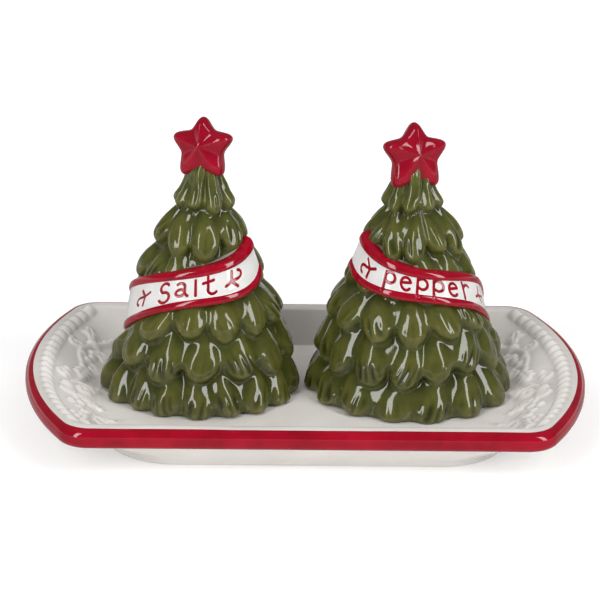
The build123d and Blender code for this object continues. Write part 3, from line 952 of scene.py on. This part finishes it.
def ends_raised(x, y):
    """Height of the bead rows and motifs above the plain well."""
    bow_x = TRAY_LENGTH / 2 - END_RADIUS
    angle = np.arctan2(y, np.abs(x) - bow_x)
    inset = END_RADIUS - np.hypot(np.abs(x) - bow_x, y)
    along = angle * (END_RADIUS - BEAD_MIDDLE)
    side_gap = TRAY_WIDTH / 2 - np.abs(y)

    half_row = BEADS_PER_END * BEAD_PITCH / 2
    along_row = along - BEAD_SHIFT
    lobe = np.cos(pi * ((along_row + half_row) / BEAD_PITCH % 1 - 0.5))
    bead = bump(inset - BEAD_MIDDLE, BEAD_HALF_LENGTH, BEAD_RISE) * np.clip(lobe, 0, 1) ** 0.7
    bead = bead * (np.abs(along_row) < half_row) * smooth_step(3.5, 6.0, side_gap)

    clear = smooth_step(9.6, 11.0, inset) * smooth_step(35.5, 33.0, inset)
    clear = clear * smooth_step(9.0, 13.5, side_gap)
    motif = blur(end_relief(along, inset) * clear, 0.55, 0.9)
    return np.maximum(bead, motif)


def build_tray(material):
    """The whole tray, from its foot's recess over the rim to the middle of its well."""
    rings = tray_profile()
    outlines = np.stack([tray_ring(*ring[:3]) for ring in rings])
    count = outlines.shape[1]
    x, y = outlines[..., 0], outlines[..., 1]
    z = np.array([ring[3] for ring in rings])[:, None] + 0 * x
    paint = np.array([ring[4] for ring in rings])[:, None] + 0 * x
    first_upper = len(UNDERSIDE) + RIM_RINGS - 2
    upper = (np.arange(len(rings)) >= first_upper)[:, None]
    on_end = upper * (np.abs(x) > TRAY_LENGTH / 2 - END_REACH)
    raised = on_end * ends_raised(x, y)
    swell = value_noise(np.random.default_rng(5), x + 150, y + 150, 14.0)
    z = z + raised + upper * TRAY_SWELL * swell
    pooled = PLAIN_POOL + on_end * (POOL_GAIN * (raised - blur(raised, 2.5, 3.0)))
    points = np.stack([x, y, z], -1).reshape(-1, 3)
    points = np.concatenate([points, [[0, 0, UNDERSIDE[0][3]]], [[0, 0, FLOOR_Z]]])
    last = (len(rings) - 1) * count + np.arange(count)
    faces = [
        grid_faces(len(rings), count, True),
        fan_faces(np.arange(count), len(points) - 2, flip=True),
        fan_faces(last, len(points) - 1),
    ]
    attributes = {
        "paint": np.concatenate([paint.ravel(), [0, 0]]),
        "relief": np.concatenate([pooled.ravel(), [PLAIN_POOL, PLAIN_POOL]]),
    }
    make_piece("tray_body", points, faces, material, "tray", "tray", attributes)


# --- floor ----------------------------------------------------------------------------
STAGE_HALF = 12.0            # metres
GLOW_NEAR, GLOW_FAR = (0.12, 0.25), (0.9, 1.0)   # metres from the middle, strength there


def build_stage():
    """Plain white floor that grows brighter away from the set."""
    mesh = bpy.data.meshes.new("studio_floor")
    corners = [(-1, -1), (1, -1), (1, 1), (-1, 1)]
    mesh.from_pydata([(STAGE_HALF * x, STAGE_HALF * y, 0) for x, y in corners], [], [(0, 1, 2, 3)])
    floor = bpy.data.objects.new("studio_floor", mesh)
    shader = Shader("studio_floor", Roughness=0.7, Specular_IOR_Level=0.1, Emission_Color=WHITE)
    tones = ((0.3, [0.84, 0.84, 0.84, 1]), (0.7, [0.88, 0.88, 0.88, 1]))
    shader.to_shader(shader.ramp(shader.noise(3.0), tones), "Base Color")
    spread = shader.node("ShaderNodeVectorMath", {0: shader.place()}, operation="LENGTH")
    inputs = {
        "Value": spread.outputs["Value"],
        "From Min": GLOW_NEAR[0], "From Max": GLOW_FAR[0],
        "To Min": GLOW_NEAR[1], "To Max": GLOW_FAR[1],
    }
    glow = shader.node("ShaderNodeMapRange", inputs).outputs["Result"]
    shader.to_shader(glow, "Emission Strength")
    mesh.materials.append(shader.material)
    bpy.context.scene.collection.objects.link(floor)
    floor.visible_glossy = False      # the glaze mirrors a dim room


# --- camera and light -----------------------------------------------------------------
VIEW_AZIMUTH = radians(-1.5)
VIEW_ELEVATION = radians(21.46)
VIEW_ROLL = radians(1.12)
VIEW_DISTANCE = 1259.5       # millimetres, as for the target
VIEW_LENS = 209.5
VIEW_TARGET = (-2.43, 0.0, TRAY_TOP + 25.2)


def build_camera():
    data = bpy.data.cameras.new("camera")
    data.lens = VIEW_LENS
    data.clip_start, data.clip_end = 0.05, 50
    camera = bpy.data.objects.new("camera", data)
    bpy.context.scene.collection.objects.link(camera)
    back = Vector((
        sin(VIEW_AZIMUTH) * cos(VIEW_ELEVATION),
        -cos(VIEW_AZIMUTH) * cos(VIEW_ELEVATION),
        sin(VIEW_ELEVATION),
    ))
    right = (-back).cross(Vector((0, 0, 1))).normalized()
    up = right.cross(-back)
    turn = Matrix.Rotation(-VIEW_ROLL, 3, -back)
    right, up = turn @ right, turn @ up
    matrix = Matrix((right, up, back)).transposed().to_4x4()
    matrix.translation = (Vector(VIEW_TARGET) + back * VIEW_DISTANCE) * MM
    camera.matrix_world = matrix
    bpy.context.scene.camera = camera


LIGHT_DISTANCE = 1.3         # metres
LIGHT_AIM = 0.05             # height that the lights aim at
# Azimuth from the camera, + to its right, elevation, width, height (metres), radiance.
LIGHTS = {
    "left_box": (-38, 31, 0.31, 1.25, 8.6),
    "right_box": (56, 31, 0.31, 1.25, 8.6),
    "overhead": (180, 76, 1.6, 1.0, 1.75),
}


def softbox(name, azimuth, elevation, width, height, radiance):
    """Rectangular box of light that faces the set."""
    turn, tilt = radians(azimuth) + VIEW_AZIMUTH, radians(elevation)
    out = LIGHT_DISTANCE * cos(tilt)
    place = Vector((out * sin(turn), -out * cos(turn), LIGHT_DISTANCE * sin(tilt) + LIGHT_AIM))
    data = bpy.data.lights.new(name, "AREA")
    data.shape = "RECTANGLE"
    data.size, data.size_y = width, height
    data.energy = radiance * pi * width * height
    light = bpy.data.objects.new(name, data)
    bpy.context.scene.collection.objects.link(light)
    light.location = place
    aim = Vector((0, 0, LIGHT_AIM)) - place
    light.rotation_euler = aim.to_track_quat("-Z", "Y").to_euler()
    return light


# The room's brightness from straight down (0) to straight up (1), with a pale horizon.
SKY = ((0.460, 0.42), (0.475, 0.95), (0.505, 0.93), (0.570, 0.13))


def build_light():
    """A dim room with a pale horizon, and the boxes of light."""
    world = bpy.data.worlds.new("studio")
    bpy.context.scene.world = world
    world.use_nodes = True
    tree = world.node_tree
    background = tree.nodes["Background"]
    background.inputs["Color"].default_value = WHITE
    direction = add_node(tree, "ShaderNodeTexCoord").outputs["Generated"]
    split = add_node(tree, "ShaderNodeSeparateXYZ", {0: direction})
    inputs = {0: split.outputs["Z"], 1: 0.5, 2: 0.5}
    share = add_node(tree, "ShaderNodeMath", inputs, operation="MULTIPLY_ADD").outputs[0]
    stops = [(position, (level, level, level, 1)) for position, level in SKY]
    tree.links.new(add_ramp(tree, share, stops), background.inputs["Strength"])
    lights = {name: softbox(name, *numbers) for name, numbers in LIGHTS.items()}
    lights["overhead"].visible_glossy = False
    bpy.context.scene.view_settings.view_transform = "Standard"


build_camera()
build_light()
build_stage()
green = green_glaze()
star_red = star_glaze()
sash_white = sash_glaze()
for shaker in SHAKERS:
    build_tree(shaker, green)
    build_star(shaker, star_red)
    build_sash(shaker, sash_white)
plastic = stopper_plastic()
for shaker in SHAKERS:
    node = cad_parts[f"{shaker.name}_stopper"]
    node.data.materials.clear()
    node.data.materials.append(plastic)
build_tray(tray_glaze())
